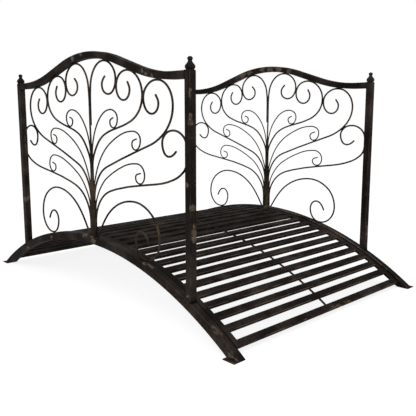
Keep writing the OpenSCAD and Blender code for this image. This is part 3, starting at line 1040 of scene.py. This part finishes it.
outline, outside = even_outline(tube_section)
zero = np.zeros(len(outline))
for side, side_sign in SIDES.items():
    beads = []
    for end_sign in ENDS.values():
        x = end_sign * post_x + outline[:, 0]
        foot = np.column_stack([x, side_sign * rail_y + outline[:, 1], arch_top(x)])
        beads.append(bead_skin(foot, np.column_stack([outside, zero]), UP))
        across, height = side_sign * rail_y + outline[:, 0], level_z + outline[:, 1]
        joint = np.column_stack([zero + end_sign * clear_half, across, height])
        beads.append(bead_skin(joint, np.column_stack([zero, outside]), ALONG))
    make_piece(f"{side}_post_beads", beads, "tube_paint", [])

# %% [markdown]
# ## Finials
#
# A finial is turned: a collar, an onion that draws in to a neck, and a ball. A Screw
# modifier would spin an outline too, but here the grid is at hand. The outline is a list of
# radius and height in millimetres, smoothed by a curve through them, and the surface is
# that outline carried once round the post's axis.

# %% Finials
FINIAL_MM = [
    (12.8, 0.0), (12.9, 1.2), (12.5, 1.9), (13.3, 2.7), (15.2, 5.4), (16.0, 9.2), (15.5, 12.6),
    (13.4, 16.0), (10.4, 19.6), (7.9, 22.8), (6.7, 25.2), (6.4, 27.2), (7.2, 29.2), (8.4, 32.6),
    (7.8, 36.0), (5.5, 38.6), (2.7, 39.8),
]


def smooth_outline(knots, samples=6):
    """Curve through the knots: a cubic between each two of them.

    The slope at a knot is half the step between its neighbours.
    """
    knots = np.array(knots)
    padded = np.concatenate([knots[:1], knots, knots[-1:]])
    slopes = (padded[2:] - padded[:-2]) / 2
    t = np.linspace(0, 1, samples, endpoint=False)[None, :, None]
    p0, p1 = knots[:-1, None], knots[1:, None]
    m0, m1 = slopes[:-1, None], slopes[1:, None]
    rows = (2 * t**3 - 3 * t**2 + 1) * p0 + (t**3 - 2 * t**2 + t) * m0
    rows = rows + (3 * t**2 - 2 * t**3) * p1 + (t**3 - t**2) * m1
    return np.concatenate([rows.reshape(-1, 2), knots[-1:]])


def finial_skin(x, y, sides=40):
    """Outline carried round the post's axis: x + r cos a, y + r sin a, z."""
    profile = smooth_outline(FINIAL_MM) / 1000
    a = round_angles(sides)
    r, z = profile[:, 0:1], profile[:, 1:2]
    grid = np.stack(np.broadcast_arrays(x + r * np.cos(a), y + r * np.sin(a), post_top + z), -1)
    return skin(grid, round_girth(half_tube, sides), 0.0)


for corner, (end_sign, side_sign) in CORNERS.items():
    knob = finial_skin(end_sign * post_x, side_sign * rail_y)
    dress(f"{corner}_finial", "knob", [knob], "tube_paint")

# %% [markdown]
# ## Feet and ties
#
# A foot is a small plate under the cut end of a stringer, turned outwards so that it can
# be pinned down. A bevelled cube would do, but the section helper is at hand: it is a
# rounded rectangle carried upwards, a little smaller in its first and last rows so that
# its edges are broken. The ties are short square bars between the slats at mid-width that
# keep the slats from spreading. Each one lies square to the line that halves the angle
# between its two slats.


# %% Feet
def plate_skin(low, high, corner=0.003, edge=0.0004):
    """Plate filling a box: rounded rectangle in plan, drawn in by edge at its lowest and highest row."""
    size = np.array([high.x - low.x, high.y - low.y])
    centre = np.array([low.x + high.x, low.y + high.y]) / 2
    plan, rub_and_shade = box_section(*size, corner)
    z = np.array([low.z, low.z + edge, high.z - edge, high.z])
    draw_in = np.array([edge, 0, 0, edge])
    xy = centre + plan[None] * (1 - 2 * draw_in[:, None, None] / size)
    grid = np.concatenate([xy, np.broadcast_to(z[:, None, None], (len(z), len(plan), 1))], -1)
    return skin(grid, girth(plan), rub_and_shade)


for corner in CORNERS:
    foot_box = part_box(f"{corner}_foot")
    dress(f"{corner}_foot", "plate", [plate_skin(*foot_box)], "tube_paint")

# %% Ties
TIE_D = 0.006
TIE_DROP = 0.001
TIE_CORNER = 0.0008
TIE_FADE = 0.0006
TIE_RUB = 0.2
tie_section, tie_rub = box_section(TIE_D, TIE_D, TIE_CORNER, TIE_FADE)


def tie_grid(first, second):
    """Square bar between the slats at two angles, as long as their gap at the bar's underside."""
    lean, middle = (second - first) / 2, (second + first) / 2
    low_r = deck_r - TIE_DROP - TIE_D
    half_len = low_r * math.tan(lean) - SLAT_W / 2 / math.cos(lean) - WELD_GAP
    x = np.array([[-half_len], [half_len]])
    h = low_r + TIE_D / 2 + tie_section[None, :, 0]
    return turned_about_arch(x, tie_section[None, :, 1], h, middle)


all_angles = np.concatenate([-slat_angles[::-1], slat_angles])
tie_grids = [tie_grid(a, b) for a, b in zip(all_angles[:-1], all_angles[1:])]
ties = [skin(grid, girth(tie_section), TIE_RUB * tie_rub) for grid in tie_grids]
dress("center_ties", "bar", ties, "deck_paint")

# %% [markdown]
# ## Floor, light and camera
#
# The bridge stands on a wide pale floor under soft light from above and from the front.
# A Light Path node tells rays that the camera sees from rays that carry light, so the
# floor and the sky look white and still light the bridge gently, and the floor keeps the
# bridge's shadow. The camera stands where the photograph was taken from: the lens and its
# small shift put the picture's centre where it was in the photograph.

# %% Floor
FLOOR_HALF = 40.0
FLOOR_ROUGH = 0.9
# For rays that carry light, and for rays that are seen.
FLOOR_PALE = (0.86, 0.30)
FLOOR_GLOW = (0.0, 0.80)
WHITE = (1.0, 1.0, 1.0, 1.0)


def seen_directly(add):
    """1 for rays from the camera, in a reflection or through glass, and 0 for rays that carry light."""
    ray = add.nodes.new("ShaderNodeLightPath").outputs
    seen = add.maths("MAXIMUM", ray["Is Camera Ray"], ray["Is Glossy Ray"])
    return add.maths("MAXIMUM", seen, ray["Is Transmission Ray"])


floor_mesh = bpy.data.meshes.new("floor")
corners = np.array([[-1, -1, 0], [1, -1, 0], [1, 1, 0], [-1, 1, 0]]) * FLOOR_HALF
floor_mesh.from_pydata(corners.tolist(), [], [(0, 1, 2, 3)])
floor = bpy.data.objects.new("floor", floor_mesh)
bpy.context.scene.collection.objects.link(floor)
floor_paint = bpy.data.materials.new("pale_floor")
floor_paint.use_nodes = True
add_floor = ShaderNodes(floor_paint.node_tree)
floor_seen = seen_directly(add_floor)
floor_finish = {
    "Base Color": add_floor.level(floor_seen, ends=FLOOR_PALE),
    "Roughness": FLOOR_ROUGH,
    "Specular IOR Level": 0.0,
    "Emission Color": WHITE,
    "Emission Strength": add_floor.level(floor_seen, ends=FLOOR_GLOW),
}
add_floor.feed(add_floor.nodes["Principled BSDF"], floor_finish)
floor_mesh.materials.append(floor_paint)
print("floor:", 2 * FLOOR_HALF, "m wide")

# %% Light
SKY_GLOW = (0.75, 1.0)
LAMP_AIM = np.array([0.0, 0.0, 0.4])
LAMP_SIZE = 2.4
world = bpy.data.worlds.new("studio")
bpy.context.scene.world = world
world.use_nodes = True
add_sky = ShaderNodes(world.node_tree)
sky_glow = add_sky.level(seen_directly(add_sky), ends=SKY_GLOW)
add_sky.feed(add_sky.nodes["Background"], {"Color": WHITE, "Strength": sky_glow})


def softbox(name, place, power):
    """Square area lamp at a place, turned to look at the bridge."""
    lamp = bpy.data.lights.new(name, "AREA")
    lamp.size = LAMP_SIZE
    lamp.energy = power
    box = bpy.data.objects.new(name, lamp)
    box.location = place
    back = np.array(place) - LAMP_AIM
    back /= np.linalg.norm(back)
    box.rotation_euler = (math.acos(back[2]), 0, math.atan2(back[0], -back[1]))
    bpy.context.scene.collection.objects.link(box)
    print("lamp:", name, power, "W")


softbox("key_light", place=(1.2, -3.0, 3.2), power=60)
softbox("fill_light", place=(3.4, 1.2, 2.2), power=25)

# %% Camera
CAMERA_AT = (1.8403, -1.6303, 0.7143)
AZIMUTH = 46.56
ELEVATION = 8.89
LENS_MM = 48.80
SENSOR_MM = 36.0
SHIFT = (-0.0054, -0.01745)
lens = bpy.data.cameras.new("camera")
lens.lens = LENS_MM
lens.sensor_width = SENSOR_MM
lens.shift_x, lens.shift_y = SHIFT
camera = bpy.data.objects.new("camera", lens)
camera.location = CAMERA_AT
camera.rotation_euler = (math.radians(90 - ELEVATION), 0, math.radians(AZIMUTH))
bpy.context.scene.collection.objects.link(camera)
bpy.context.scene.camera = camera
bpy.context.scene.view_settings.view_transform = "Standard"
print("camera at", CAMERA_AT, "with a lens of", LENS_MM, "mm")
